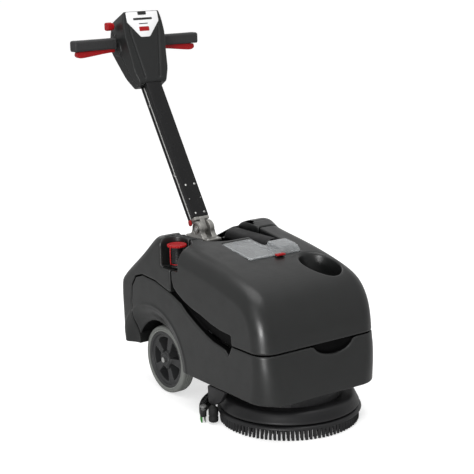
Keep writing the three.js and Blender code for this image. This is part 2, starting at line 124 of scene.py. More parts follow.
def lamp(name, place, target, size, power, colour=(1, 1, 1)):
    data = bpy.data.lights.new(name, "AREA")
    data.shape = "DISK"
    data.size = size
    data.energy = power
    data.color = colour
    obj = added(name, data)
    obj.matrix_world = aimed(Vector(place), Vector(target))


def for_camera(tree, others, seen, target):
    """Gives a socket one value for what the camera sees and another for all other light."""
    path = tree.nodes.new("ShaderNodeLightPath").outputs["Is Camera Ray"]
    choice = settings(tree.nodes.new("ShaderNodeMapRange"), To_Min=others, To_Max=seen)
    link(tree, path, choice.inputs["Value"])
    link(tree, choice.outputs["Result"], target)


def studio():
    world = bpy.data.worlds.new("studio")
    world.use_nodes = True
    tree = world.node_tree
    background = settings(tree.nodes["Background"], Color=(1, 1, 1, 1))
    for_camera(tree, 0.68, 1.05, background.inputs["Strength"])
    bpy.context.scene.world = world
    bpy.context.scene.view_settings.view_transform = "Standard"
    lamp("top", (-0.3, -0.4, 3.8), (0, 0, 0.4), 3.4, 80)
    lamp("key", (-2.8, -1.6, 2.6), (0, 0, 0.4), 1.4, 8)
    lamp("back", (0.5, 3.2, 2.8), (0, 0, 0.5), 2.0, 14)
    lamp("corner", (-3.0, -2.45, 0.55), (0, -0.3, 0.3), 0.8, 80)
    mesh = bpy.data.meshes.new("floor")
    edge = 60
    corners = [(-edge, -edge, 0), (edge, -edge, 0), (edge, edge, 0), (-edge, edge, 0)]
    mesh.from_pydata(corners, [], [(0, 1, 2, 3)])
    floor = added("floor", mesh)
    material = bpy.data.materials.new("floor_white")
    material.use_nodes = True
    tree = material.node_tree
    shader = settings(tree.nodes["Principled BSDF"], Base_Color=(0.6, 0.6, 0.6, 1), Roughness=0.8,
                      Specular_IOR_Level=0.1, Emission_Color=(1, 1, 1, 1))
    for_camera(tree, 0, 0.6, shader.inputs["Emission Strength"])
    mesh.materials.append(material)


camera()
studio()


# ---------------------------------------------------------------- materials
def noise(tree, coords, scale, detail=3.0, rough=0.55):
    node = settings(tree.nodes.new("ShaderNodeTexNoise"), Scale=scale, Detail=detail, Roughness=rough)
    link(tree, coords, node.inputs["Vector"])
    return node.outputs["Fac"]


def spread(tree, value, low, high, start=0.3, end=0.7):
    node = settings(tree.nodes.new("ShaderNodeMapRange"), From_Min=start, From_Max=end, To_Min=low,
                    To_Max=high)
    link(tree, value, node.inputs["Value"])
    return node.outputs["Result"]


def blend(tree, factor, first, second):
    node = tree.nodes.new("ShaderNodeMix")
    node.data_type = "RGBA"
    link(tree, factor, node.inputs["Factor"])
    for socket, value in ((node.inputs[6], first), (node.inputs[7], second)):
        if isinstance(value, tuple):
            socket.default_value = (*value, 1)
        else:
            link(tree, value, socket)
    return node.outputs[2]


def surface(name, colour, rough, metal=0.0, vary=0.1, grain=(520, 0.2), stretch=(1, 1, 1), edge_wear_and_sheen=0.0,
            coat=0.0, rough_vary=0.06, specular=0.5):
    """A material with uneven colour and roughness, a fine grain in its surface, and sharp edges made
    lighter, partly as edge wear and partly as a painted edge highlight.
    """
    material = bpy.data.materials.new(name)
    material.use_nodes = True
    tree = material.node_tree
    shader = tree.nodes["Principled BSDF"]
    coords = tree.nodes.new("ShaderNodeTexCoord").outputs["Object"]
    mapping = settings(tree.nodes.new("ShaderNodeMapping"), Scale=stretch)
    link(tree, coords, mapping.inputs["Vector"])
    coords = mapping.outputs["Vector"]
    dark = tuple(c * (1 - vary) for c in colour)
    light = tuple(min(1, c * (1 + vary)) for c in colour)
    mixed = blend(tree, spread(tree, noise(tree, coords, 9, 4), 0, 1), dark, light)
    speck = noise(tree, coords, grain[0], 2)
    mixed = blend(tree, spread(tree, speck, 0, 0.35, 0.45, 0.75), mixed, light)
    # sharp edges lightened: partly edge wear, partly a painted highlight along the edges
    if edge_wear_and_sheen:
        edges = tree.nodes.new("ShaderNodeNewGeometry").outputs["Pointiness"]
        wear_and_sheen_colour = tuple(min(1, c * 1.7 + 0.02) for c in colour)
        mixed = blend(tree, spread(tree, edges, 0, edge_wear_and_sheen, 0.505, 0.56), mixed, wear_and_sheen_colour)
    link(tree, mixed, shader.inputs["Base Color"])
    patches = spread(tree, noise(tree, coords, 24, 3), rough - rough_vary, rough + rough_vary)
    link(tree, patches, shader.inputs["Roughness"])
    settings(shader, Metallic=metal, Specular_IOR_Level=specular, Coat_Weight=coat, Coat_Roughness=0.12)
    bump = settings(tree.nodes.new("ShaderNodeBump"), Strength=grain[1], Distance=0.0006)
    link(tree, speck, bump.inputs["Height"])
    link(tree, bump.outputs["Normal"], shader.inputs["Normal"])
    return material


def clear_plastic():
    material = surface("clear_plastic", (0.66, 0.68, 0.69), 0.14, vary=0.03, grain=(60, 0.03),
                       rough_vary=0.04)
    settings(material.node_tree.nodes["Principled BSDF"], Transmission_Weight=0.8, IOR=1.3)
    return material


BODY = surface("body_plastic", (0.0075, 0.0080, 0.0078), 0.36, edge_wear_and_sheen=0.35, specular=0.42)
BLACK = surface("black_plastic", (0.006, 0.006, 0.0065), 0.42, edge_wear_and_sheen=0.3, specular=0.28)
CONSOLE = surface("console_plastic", (0.011, 0.0115, 0.0115), 0.42, grain=(600, 0.2), edge_wear_and_sheen=0.3,
                  specular=0.3)
COATED = surface("column_coating", (0.003, 0.003, 0.0033), 0.26, grain=(900, 0.08), edge_wear_and_sheen=0.3,
                 specular=0.16)
GRIP = surface("grip_rubber", (0.021, 0.021, 0.0215), 0.6, grain=(700, 0.35), specular=0.35)
RUBBER = surface("bumper_rubber", (0.008, 0.008, 0.008), 0.7, grain=(500, 0.3), specular=0.3)
RED = surface("red_plastic", (0.29, 0.004, 0.006), 0.42, vary=0.05, grain=(300, 0.05), coat=0.04,
              specular=0.22)
STEEL = surface("steel", (0.46, 0.46, 0.45), 0.3, metal=1.0, grain=(900, 0.1), stretch=(1, 1, 14))
CAST = surface("cast_metal", (0.26, 0.255, 0.24), 0.42, metal=0.75, vary=0.12, grain=(650, 0.4), edge_wear_and_sheen=0.3)
TYRE = surface("tyre_rubber", (0.135, 0.14, 0.132), 0.72, grain=(480, 0.3), edge_wear_and_sheen=0.2, specular=0.3)
HUB = surface("hub_plastic", (0.024, 0.0245, 0.025), 0.45, edge_wear_and_sheen=0.3, specular=0.28)
MOTOR = surface("motor_housing", (0.12, 0.125, 0.13), 0.45, metal=0.3, grain=(400, 0.2))
DUCT = surface("duct_plastic", (0.0035, 0.0035, 0.004), 0.5, specular=0.18)
RECESS_SHADE = surface("painted_recess_shade", (0.0015, 0.0015, 0.0016), 0.6, specular=0.08)
# nearly black painted shade, put on the faces deep in the mouldings' recesses
KNOB = surface("knob_plastic", (0.10, 0.10, 0.098), 0.5, grain=(400, 0.2), edge_wear_and_sheen=0.3)
BOARD = surface("board_green", (0.015, 0.09, 0.04), 0.5, grain=(300, 0.1))
GREEN = surface("blade_green", (0.02, 0.17, 0.015), 0.6, grain=(400, 0.2))
GREY_BLADE = surface("blade_grey", (0.17, 0.17, 0.16), 0.6, grain=(400, 0.2))
BRISTLE = surface("bristle_nylon", (0.026, 0.026, 0.027), 0.55, vary=0.35, grain=(300, 0.1),
                  specular=0.25)
LABEL = surface("label_white", (0.74, 0.74, 0.745), 0.35, vary=0.02, grain=(300, 0.03), coat=0.2)
CLEAR = clear_plastic()

KEPT = {
    "chassis_plate": STEEL, "handle_post": BLACK, "axle": STEEL, "axle_bracket_l": STEEL,
    "axle_bracket_r": STEEL, "gearbox": MOTOR, "brush_motor": MOTOR, "deck_ring": BLACK,
    "vacuum_motor": MOTOR, "solution_pump": MOTOR, "control_board": BOARD, "suction_hose": BLACK,
    "drive_coupling": STEEL, "float_cage": BLACK, "handlebar": STEEL, "splash_hood": BLACK,
}


# ---------------------------------------------------------------- mesh helpers
def mounted(name, data, body, replaced):
    """Makes an object of a piece, on its body and in place of the nodes that it stands for."""
    obj = added(name, data)
    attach(obj, body)
    if replaced:
        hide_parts(*replaced)
    return obj


def publish(name, points, faces, material, body, slot, replaced=(), sharp=None):
    """Makes a piece from points in millimetres round the brush axis."""
    mesh = bpy.data.meshes.new(name)
    points = row(points)
    if isinstance(faces, np.ndarray):
        mesh.vertices.add(len(points))
        mesh.vertices.foreach_set("co", points.astype(np.float32).ravel())
        mesh.loops.add(faces.size)
        mesh.loops.foreach_set("vertex_index", faces.astype(np.int32).ravel())
        mesh.polygons.add(len(faces))
        mesh.polygons.foreach_set("loop_start", np.arange(0, faces.size, faces.shape[1], dtype=np.int32))
        mesh.update(calc_edges=True)
    else:
        mesh.from_pydata([tuple(p) for p in points], [], [tuple(int(i) for i in f) for f in faces])
        mesh.update()
    mesh.validate()
    mesh.polygons.foreach_set("use_smooth", np.ones(len(mesh.polygons), bool))
    if sharp is not None:
        mesh.set_sharp_from_angle(angle=math.radians(sharp))
    mesh.materials.append(material)
    return mounted(name, mesh, body, replaced)


def upright(a, b, d):
    """Outline in the x, y plane, depth along z."""
    return np.stack([a, b, d], -1)


def sideways(a, b, d):
    """Outline in the y, z plane, depth along x."""
    return np.stack([d, a, b], -1)


def in_handle(x, n, s):
    """Handle coordinates: x across, n square to the column and to the rear, s along the column."""
    y = PIVOT_Y + n * math.cos(LEAN) + s * math.sin(LEAN)
    z = PIVOT_Z - n * math.sin(LEAN) + s * math.cos(LEAN)
    return np.stack(np.broadcast_arrays(x, y, z), -1)


def rounded(points, radius, steps=5):
    """A closed outline with each corner eased off over about the given length."""
    points = np.asarray(points, float)
    out = []
    for i, corner in enumerate(points):
        before, after = points[i - 1] - corner, points[(i + 1) % len(points)] - corner
        a, b = np.linalg.norm(before), np.linalg.norm(after)
        reach = radius if np.isscalar(radius) else radius[i]
        start = corner + before / a * min(reach, a / 2)
        end = corner + after / b * min(reach, b / 2)
        for t in np.linspace(0, 1, steps):
            out.append((1 - t) ** 2 * start + 2 * t * (1 - t) * corner + t * t * end)
    kept = [out[0]]
    for point in out[1:]:
        if np.linalg.norm(point - kept[-1]) > 1e-3:
            kept.append(point)
    if np.linalg.norm(kept[0] - kept[-1]) < 1e-3:
        kept.pop()
    return np.array(kept)


def rectangle(a0, a1, b0, b1, radius, steps=5):
    return rounded([(a0, b0), (a1, b0), (a1, b1), (a0, b1)], radius, steps)


def inset(points, amount):
    before = points - np.roll(points, 1, 0)
    after = np.roll(points, -1, 0) - points
    area = np.sum(points[:, 0] * np.roll(points[:, 1], -1) - np.roll(points[:, 0], -1) * points[:, 1])
    turn = np.sign(area)
    def left(v):
        v = v / np.maximum(np.linalg.norm(v, axis=1, keepdims=True), 1e-9)
        return np.stack([-v[:, 1], v[:, 0]], 1) * turn
    normal = left(before) + left(after)
    normal /= np.maximum(np.sum(normal * normal, 1, keepdims=True) / 2, 0.5)
    return points + normal * amount


def outward(points, faces):
    """Turns the faces of a closed solid outwards."""
    volume = 0.0
    for face in faces:
        a = points[face[0]]
        for i in range(1, len(face) - 1):
            volume += np.dot(a, np.cross(points[face[i]], points[face[i + 1]]))
    return faces if volume > 0 else [tuple(reversed(f)) for f in faces]


def loft(rings):
    """Points and faces of a closed tube through rings of equal length."""
    count = len(rings[0])
    points = np.concatenate(rings)
    faces = []
    for k in range(len(rings) - 1):
        for i in range(count):
            j = (i + 1) % count
            faces.append((k * count + i, k * count + j, (k + 1) * count + j, (k + 1) * count + i))
    faces.append(tuple(range(count))[::-1])
    faces.append(tuple((len(rings) - 1) * count + i for i in range(count)))
    return points, outward(points, faces)


def slab(outline, d0, d1, bevel, place):
    """A flat plate on an outline with eased edges on both faces."""
    rings = []
    for depth, amount in ((d0, bevel), (d0 + bevel * 0.3, bevel * 0.3), (d0 + bevel, 0), (d1 - bevel, 0),
                          (d1 - bevel * 0.3, bevel * 0.3), (d1, bevel)):
        ring = inset(outline, amount)
        rings.append(place(ring[:, 0], ring[:, 1], np.full(len(ring), float(depth))))
    return loft(rings)


def lathe(profile, segments, place=upright, centre=(0, 0)):
    """A body of revolution from a (radius, height) profile: closed, or open with both ends on the axis."""
    profile = np.asarray(profile, float)
    angles = np.linspace(0, 2 * math.pi, segments, endpoint=False)
    points, faces, rows = [], [], []
    for r, h in profile:
        start = len(points)
        if r < 1e-6:
            points.append(place(*(np.array(v, float) for v in (*centre, h))))
            rows.append([start] * segments)
        else:
            for a in angles:
                spot = (centre[0] + r * math.cos(a), centre[1] + r * math.sin(a), h)
                points.append(place(*(np.array(v, float) for v in spot)))
            rows.append(list(range(start, start + segments)))
    pairs = list(zip(rows, rows[1:]))
    if profile[0][0] > 1e-6:
        pairs.append((rows[-1], rows[0]))
    for one, two in pairs:
        for i in range(segments):
            j = (i + 1) % segments
            face = []
            for v in (one[i], one[j], two[j], two[i]):
                if v not in face:
                    face.append(v)
            if len(face) > 2:
                faces.append(tuple(face))
    points = np.array(points)
    return points, outward(points, faces)


def gather(parts):
    """Several (points, faces) as one."""
    points, faces, shift = [], [], 0
    for p, f in parts:
        points.append(p)
        faces.extend(tuple(i + shift for i in face) for face in f)
        shift += len(p)
    return np.concatenate(points), faces


# ---------------------------------------------------------------- shapes from distance fields
def both(a, b, r=0.0):
    """Where both fields are inside, with the edge between them rounded to r."""
    if np.isscalar(r) and r <= 0:
        return np.maximum(a, b)
    u, v = np.maximum(a + r, 0), np.maximum(b + r, 0)
    return np.minimum(-r, np.maximum(a, b)) + np.sqrt(u * u + v * v)


def either(a, b, r=0.0):
    return -both(-a, -b, r)


def minus(a, b, r=0.0):
    return both(a, -b, r)


def ease(low, high, value):
    t = np.clip((value - low) / (high - low), 0, 1)
    return t * t * (3 - 2 * t)


def polygon(points, a, b):
    """Signed distance to a closed outline, on grids that broadcast."""
    points = np.asarray(points, np.float32)
    a, b = np.broadcast_arrays(np.asarray(a, np.float32), np.asarray(b, np.float32))
    best = np.full(a.shape, 1e12, np.float32)
    inside = np.zeros(a.shape, bool)
    for (x0, y0), (x1, y1) in zip(points, np.roll(points, -1, 0)):
        ex, ey = x1 - x0, y1 - y0
        wx, wy = a - x0, b - y0
        t = np.clip((wx * ex + wy * ey) / max(ex * ex + ey * ey, 1e-9), 0, 1)
        best = np.minimum(best, (wx - ex * t) ** 2 + (wy - ey * t) ** 2)
        if y0 != y1:
            crosses = (y0 > b) != (y1 > b)
            inside ^= crosses & (a < x0 + (b - y0) * (ex / ey))
    distance = np.sqrt(best)
    return np.where(inside, -distance, distance)


def block(a, a0, a1):
    return np.maximum(a0 - a, a - a1)


def opening(x, y, half, y0, y1):
    return np.maximum(block(x, -half, half), block(y, y0, y1))


def ball_box(x, y, z, centre, half, r):
    q = [np.abs(v - c) - (h - r) for v, c, h in zip((x, y, z), centre, half)]
    outside = np.sqrt(sum(np.maximum(v, 0) ** 2 for v in q))
    return outside + np.minimum(np.maximum(np.maximum(q[0], q[1]), q[2]), 0) - r


def net(field, low, high, step):
    """Points and quads of the zero surface of a field, smoothed and pulled back onto it."""
    axes = [np.arange(lo - 2 * step, hi + 3 * step, step, dtype=np.float32) for lo, hi in zip(low, high)]
    x, y, z = axes[0][:, None, None], axes[1][None, :, None], axes[2][None, None, :]
    values = np.broadcast_to(field(x, y, z), [len(a) for a in axes])
    values = np.ascontiguousarray(values, dtype=np.float32)
    inside = values < 0
    count = np.zeros([n - 1 for n in values.shape], np.int8)
    corners = [(i, j, k) for i in (0, 1) for j in (0, 1) for k in (0, 1)]
    for i, j, k in corners:
        count += inside[i:i + count.shape[0], j:j + count.shape[1], k:k + count.shape[2]]
    mixed = (count > 0) & (count < 8)
    cells = np.argwhere(mixed)
    index = np.full(mixed.shape, -1, np.int32)
    index[mixed] = np.arange(len(cells))
    total = np.zeros((len(cells), 3))
    hits = np.zeros(len(cells))
    at_corner = {c: values[cells[:, 0] + c[0], cells[:, 1] + c[1], cells[:, 2] + c[2]] for c in corners}
    for first in corners:
        for axis in range(3):
            if first[axis]:
                continue
            second = tuple(v + (n == axis) for n, v in enumerate(first))
            fa, fb = at_corner[first], at_corner[second]
            cross = (fa < 0) != (fb < 0)
            t = np.where(cross, fa / np.where(cross, fa - fb, 1), 0)
            where = np.array(first, float)[None, :].repeat(len(cells), 0)
            where[:, axis] += t
            total += where * cross[:, None]
            hits += cross
    points = cells + total / hits[:, None]
    quads = []
    for axis in range(3):
        u, v = (axis + 1) % 3, (axis + 2) % 3
        lower = [slice(None)] * 3
        upper = [slice(None)] * 3
        lower[axis], upper[axis] = slice(0, -1), slice(1, None)
        change = inside[tuple(lower)] != inside[tuple(upper)]
        places = np.argwhere(change)
        flip = inside[tuple(lower)][change]
        ok = (places[:, u] > 0) & (places[:, v] > 0)
        ok &= (places[:, u] < mixed.shape[u]) & (places[:, v] < mixed.shape[v])
        places, flip = places[ok], flip[ok]
        ring = []
        for du, dv in ((-1, -1), (0, -1), (0, 0), (-1, 0)):
            cell = places.copy()
            cell[:, u] += du
            cell[:, v] += dv
            ring.append(index[cell[:, 0], cell[:, 1], cell[:, 2]])
        ring = np.stack(ring, 1)
        ring[~flip] = ring[~flip][:, ::-1]
        quads.append(ring)
    quads = np.concatenate(quads)
    flat = quads.ravel()
    for strength in (0.6, 0.5):
        middle = points[quads].mean(1)
        near = np.stack([np.bincount(flat, np.repeat(middle[:, k], 4), len(points)) for k in range(3)], 1)
        near /= np.maximum(np.bincount(flat, minlength=len(points)), 1)[:, None]
        points += (near - points) * strength
        points = pull(values, points)
    origin = np.array([a[0] for a in axes])
    return origin + points * step, quads


def pull(values, points):
    """Moves points, in grid units, onto the zero surface of sampled values."""
    for _ in range(2):
        cell = np.clip(np.floor(points).astype(int), 0, np.array(values.shape) - 2)
        t = points - cell
        got = {}
        for i in (0, 1):
            for j in (0, 1):
                for k in (0, 1):
                    got[i, j, k] = values[cell[:, 0] + i, cell[:, 1] + j, cell[:, 2] + k]
        tx, ty, tz = t.T
        value = 0
        slope = np.zeros((len(points), 3))
        for (i, j, k), f in got.items():
            wx, wy, wz = (tx if i else 1 - tx), (ty if j else 1 - ty), (tz if k else 1 - tz)
            value = value + f * wx * wy * wz
            slope[:, 0] += f * (1 if i else -1) * wy * wz
            slope[:, 1] += f * (1 if j else -1) * wx * wz
            slope[:, 2] += f * (1 if k else -1) * wx * wy
        length = np.maximum(np.sum(slope * slope, 1), 1e-6)
        move = slope * (value / length)[:, None]
        size = np.linalg.norm(move, axis=1, keepdims=True)
        points = points - move * np.minimum(1, 0.6 / np.maximum(size, 1e-9))
    return points


def carve(name, field, low, high, step, material, body, slot, replaced=(), place=None, sharp=None):
    points, quads = net(field, low, high, step)
    if place is not None:
        points = place(points[:, 0], points[:, 1], points[:, 2])
    return publish(name, points, quads, material, body, slot, replaced, sharp)


# ---------------------------------------------------------------- body mouldings
WALL = 5
ARCH_R = 123
ARCH_X = 112
SHOULDER = 52
SILHOUETTE = [
    (-180, -90), (-175, 108), (-152, 250), (-148, 300), (-134, 350), (-104, 394), (-60, 421),
    (30, 445), (134, 465), (250, 481), (346, 500), (374, 490), (452, 424), (510, 382), (556, 346),
    (576, 322), (562, -90)]
TOP_SEAM = [(-12, 252), (-9, 280), (39, 283), (86, 292), (135, 306), (180, 316), (220, 330),
            (255, 347), (270, 359), (279, 382)]
LOWER_SEAM = [(-12, 248.5), (3, 220), (22, 233), (41, 237), (79, 243), (113, 254), (162, 275),
              (206, 297), (236, 318), (267, 329), (297, 340), (365, 357), (438, 362), (475, 350),
              (497, 320), (504, 270), (502, 148)]
BODY_SIDE = rounded(SILHOUETTE, [60] * 10 + [22, 22] + [60] * 5, 7)
SLOPE_Y, SLOPE_Z, SLOPE_TILT = 470, 408, math.radians(36)
BATTERY_X = -115
DUCT_X, DUCT_Z = 76, 450


def skin(x, y, z):
    """The outside of the whole body: smooth side outline, round shoulders and a dish round each wheel."""
    side = polygon(BODY_SIDE, y, z)
    from_axle = np.hypot(y - WHEEL_Y, z - WHEEL_Z)
    dish = 23 * (1 - ease(ARCH_R - 4, ARCH_R + 46, from_axle))
    lip = 1.6 * np.exp(-((from_axle - 176) / 4.5) ** 2)
    half = BODY_HALF - 0.2 - dish + lip
    rear = 24 * ease(270, 340, y)
    foot = 30 * (1 - ease(80, 220, z)) * (1 - ease(-100, 20, y))
    corner = SHOULDER - rear + foot
    return both(np.abs(x) - half, side, corner)


def valley(x, y, z, drop=0):
    """The dip between the rear shoulders, which holds the hinge."""
    depth = 452 + 56 * ease(26, 140, np.abs(x)) - drop
    floor = depth + 60 * (1 - ease(208, 262, y))
    return (floor - z) * 0.85


def arch(x, y, z):
    return both(np.hypot(y - WHEEL_Y, z - WHEEL_Z) - ARCH_R, ARCH_X - np.abs(x), 10)


def front_pocket(x, y, z):
    bowl = (np.hypot((x - 42) / 70, (z - 254) / 36) - 1) * 36
    return both(bowl, y + 132, 14)


def filler_recess(x, y, z):
    around = ball_box(x, y, 0 * z, (-192, 290, 0), (54, 43, 40), 34)
    return both(around, 408 - z, 8)


def trough(x, y, z, grow=0):
    plan = np.maximum(block(x, 38 - grow, 114 + grow), block(y, 158 - grow, 390))
    return np.maximum(plan, 449.6 - grow - z)


def along_slope(y, z):
    """Down the rear slope and square out of it, from its middle."""
    dy, dz = y - SLOPE_Y, z - SLOPE_Z
    u = dy * math.cos(SLOPE_TILT) - dz * math.sin(SLOPE_TILT)
    w = dy * math.sin(SLOPE_TILT) + dz * math.cos(SLOPE_TILT)
    return u, w


def fill_bowl(x, y, z, grow=0):
    c, s = math.cos(0.12), math.sin(0.12)
    u, v = (x - 112) * c + (y + 11) * s, -(x - 112) * s + (y + 11) * c
    widen = 0.8 + 0.2 * np.clip((z - 372) / 90, 0, 1.1)
    a, b = 56 * widen, 71 * widen
    wall = (np.hypot(u / a, v / b) - 1) * np.minimum(a, b) * 0.95 - grow
    return both(wall, 372 - grow - z, 18)


def base_field(x, y, z):
    body = skin(x, y, z)
    floor = [(496, 132), (290, 124), (250, 111), (18, 110), (-260, 109)]
    lower = polygon([(-260, 248.5), *LOWER_SEAM, *floor], y, z)
    channel = [(-12, 248.5), (-12, 230), (284, 300), (284, 370), (280, 370), (266, 350), (252, 341),
               (217, 325), (177, 311), (133, 301), (84, 287), (38, 278), (-6, 275), (-9, 248.5)]
    shape = either(both(body, lower, 3.5), both(body + 18, polygon(channel, y, z), 2), 4)
    room = [(-260, 300), (-20, 300), (-16, 236), (3, 214), (79, 236), (206, 290), (297, 334),
            (330, 400), (494, 400), (494, 153), (290, 129), (250, 116), (-260, 115)]
    upper = [(-20, 300), (-20, 205), (300, 205), (300, 400), (262, 400), (200, 340), (30, 300)]
    hollow = np.minimum(both(body + WALL, polygon(room, y, z), 8),
                        both(body + 18 + WALL, polygon(upper, y, z), 6))
    wheel = arch(x, y, z)
    pocket = front_pocket(x, y, z)
    hollow = np.maximum(np.maximum(hollow, WALL - wheel), WALL - pocket)
    shape = minus(shape, hollow, 2)
    shape = minus(minus(shape, wheel, 4), pocket, 7)
    motor = np.maximum(np.hypot(x, y) - 82, z - 130)
    axle = np.maximum(opening(x, y, 30, 222, 278), z - 136)
    post = np.maximum(opening(x, y, 102, 292, 484), z - 170)
    return minus(minus(minus(shape, motor, 1), axle, 1), post, 1)


LID = dict(x0=-70, x1=112, y0=75, y1=218, step_x=34, step_y=155, z=452)


def lid_outline(grow, radius=0):
    low, high = LID["y0"] - grow, LID["y1"] + grow
    points = [(LID["x0"] - grow, low), (LID["x1"] + grow, low), (LID["x1"] + grow, LID["step_y"] + grow),
              (LID["step_x"] + grow, LID["step_y"] + grow), (LID["step_x"] + grow, high),
              (LID["x0"] - grow, high)]
    return rounded(points, radius, 4) if radius else points


def tank_field(x, y, z):
    body = skin(x, y, z)
    upper = polygon([(-260, 252), *TOP_SEAM, (279, 600), (-260, 600)], y, z)
    room = polygon([(-260, 258), (-18, 258), (-14, 286), (39, 289), (86, 298), (135, 312), (180, 322),
                    (220, 336), (250, 351), (264, 362), (274, 384), (274, 600), (-260, 600)], y, z)
    lid = polygon(lid_outline(0, 10), x, y)
    recess = filler_recess(x, y, z)
    dip = valley(x, y, z)
    bowl = fill_bowl(x, y, z)
    hollow = both(body + WALL, room, 10)
    under_lid = both(lid - 6, LID["z"] - 6 - z)
    for solid in (bowl - WALL, under_lid, recess - WALL, trough(x, y, z, WALL), dip - WALL):
        hollow = np.maximum(hollow, -solid)
    shape = minus(both(body, upper, 3.5), hollow, 2)
    shape = minus(shape, dip, 16)
    shape = minus(shape, both(lid - 1, LID["z"] - z, 1), 3)
    shape = minus(shape, both(lid + 8, 430 - z, 2), 2)
    shape = minus(shape, bowl, 7)
    shape = minus(shape, recess, 6)
    return minus(shape, trough(x, y, z), 4)


def rear_field(x, y, z):
    body = skin(x, y, z)
    lower = [(a + 3, b + 3) for a, b in LOWER_SEAM[10:]]
    region = polygon([(287, 600), (287, 341), *lower, (505, 130), (700, 130), (700, 600)], y, z)
    dip = valley(x, y, z)
    recess = filler_recess(x, y, z)
    room = polygon([(292, 600), (292, 330), (300, 330), (438, 300), (700, 330), (700, 600)], y, z)
    low = polygon([(512, 400), (512, 100), (700, 100), (700, 400)], y, z)
    hollow = both(body + WALL, np.minimum(room, low), 8)
    for solid in (dip - WALL, trough(x, y, z, WALL), recess - WALL):
        hollow = np.maximum(hollow, -solid)
    shape = minus(both(body, region, 3.5), hollow, 2)
    shape = minus(shape, dip, 18)
    shape = minus(shape, recess, 6)
    shape = minus(shape, trough(x, y, z), 4)
    shape = minus(shape, ball_box(x, y, z, (0, 409.5, 470), (32, 64.5, 170), 8), 3)
    u, w = along_slope(y, z)
    bay = ball_box(x, u, w, (BATTERY_X, 0, -35), (48, 47, 95), 9)
    return minus(shape, bay, 4)


def darken(obj, depth):
    """Paints the faces that lie further inside the skin than the depth nearly black: painted shade for the
    unlit recesses.
    """
    mesh = obj.data
    mesh.materials.append(RECESS_SHADE)
    corners = np.empty(len(mesh.vertices) * 3, np.float32)
    mesh.vertices.foreach_get("co", corners)
    loops = np.empty(len(mesh.loops), np.int32)
    mesh.loops.foreach_get("vertex_index", loops)
    centres = corners.reshape(-1, 3)[loops.reshape(-1, 4)].mean(1) / MM
    centres[:, 1] -= BRUSH_Y / MM
    inner = skin(*centres.T) < -depth
    mesh.polygons.foreach_set("material_index", inner.astype(np.int32))


BODY_STEP = 2.5
base_shell = carve("base_shell", base_field, (-207, -182, 108), (207, 508, 372), BODY_STEP, BODY,
    "machine", "body", ["base_body"])
# the channel and pocket inside the base get the painted shade
darken(base_shell, 6)
carve("tank_shell", tank_field, (-207, -156, 250), (207, 281, 490), BODY_STEP, BODY, "recovery_tank",
    "body", ["recovery_tank"])
carve("rear_shell", rear_field, (-207, 285, 128), (207, 578, 502), BODY_STEP, BODY, "machine", "body",
    ["rear_housing"])

for name, material in KEPT.items():
    NODES[name].data.materials.clear()
    NODES[name].data.materials.append(material)


# ---------------------------------------------------------------- tank fittings
def lid_field(x, y, z):
    top = 458 + (y - LID["y0"]) * 18 / (LID["y1"] - LID["y0"])
    plate = both(polygon(lid_outline(-0.6, 8), x, y), np.maximum(452.5 - z, z - top), 1.5)
    plate = minus(plate, both(polygon(lid_outline(-4.6, 6), x, y), z - top + 5.4, 1), 0.5)
    hood = polygon(rounded([(77.5, 453), (149.5, 453), (149.5, 480), (95, 474), (82, 466)], 7, 5), y, z)
    hood = both(hood, np.abs(x - DUCT_X) - 33.6, 5)
    room = polygon(rounded([(81, 440), (146, 440), (146, 476), (96, 470), (85, 463)], 5, 5), y, z)
    room = both(room, np.abs(x - DUCT_X) - 30, 4)
    shape = minus(either(plate, hood, 2), room, 1)
    panel = both(polygon(rectangle(-58, 22, 88, 204, 8), x, y), top - 2 - z, 0)
    return minus(shape, panel, 0.4)


def duct_field(x, y, z):
    radius = np.hypot(x - DUCT_X, (z - DUCT_Z) / 0.88)
    tube = both(radius - 33.6, block(y, 160.4, 371.6), 14)
    flange = both(both(radius - 33.9, block(y, 160.4, 168), 1), DUCT_Z - z, 1)
    shape = minus(either(tube, flange, 1.5), radius - 30 + 0 * y, 0)
    shape = np.maximum(shape, DUCT_Z + 0.2 - z)
    closed = both(both(tube, 367 - y, 1), DUCT_Z + 0.2 - z, 1)
    return np.minimum(shape, closed)


carve("lid_clear", lid_field, (-70, 74, 450), (112, 219, 481), 1.5, CLEAR, "lid", "clear", ["clear_lid"])
carve("duct_cover", duct_field, (41, 159, 449), (111, 373, 481), 2, DUCT, "recovery_tank", "black",
    ["air_duct"])


def latch_field(x, y, z):
    pad = ball_box(x, y, z, (27, 65.5, 457.4), (15, 7.5, 2.6), 2.2)
    lip = ball_box(x, y, z, (27, 60.6, 458.6), (11, 2.4, 2.3), 1.8)
    grooves = 0.35 * np.cos(x * 2 * np.pi / 4)
    return either(pad, lip + grooves * (z > 456), 1.5)


carve("latch_tab", latch_field, (11, 57, 453.5), (43, 74, 462), 0.9, RED, "lid_latch", "red",
    ["lid_latch"])

FILLER_X, FILLER_Y = middle_of("filler_cap")[:2]
FILLER_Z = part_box("filler_cap")[0].z / MM + 8
neck = [(12.4, 411), (19, 411), (19, 414.5), (17, 416), (17, 424), (17.8, 425), (17.8, 427), (17, 428)]
for k in range(4):
    z = 434 + 7 * k
    neck += [(16.4, z), (17.4, z + 1.2), (17.4, z + 2.4), (16.4, z + 3.6)]
neck += [(16.4, 465), (17, 466), (17, FILLER_Z - 0.6), (16, FILLER_Z), (13, FILLER_Z),
         (12.4, FILLER_Z - 1)]
publish("neck_threaded", *lathe(neck, 40, centre=(FILLER_X, FILLER_Y)), BLACK, "machine", "black",
    ["filler_neck"], 35)


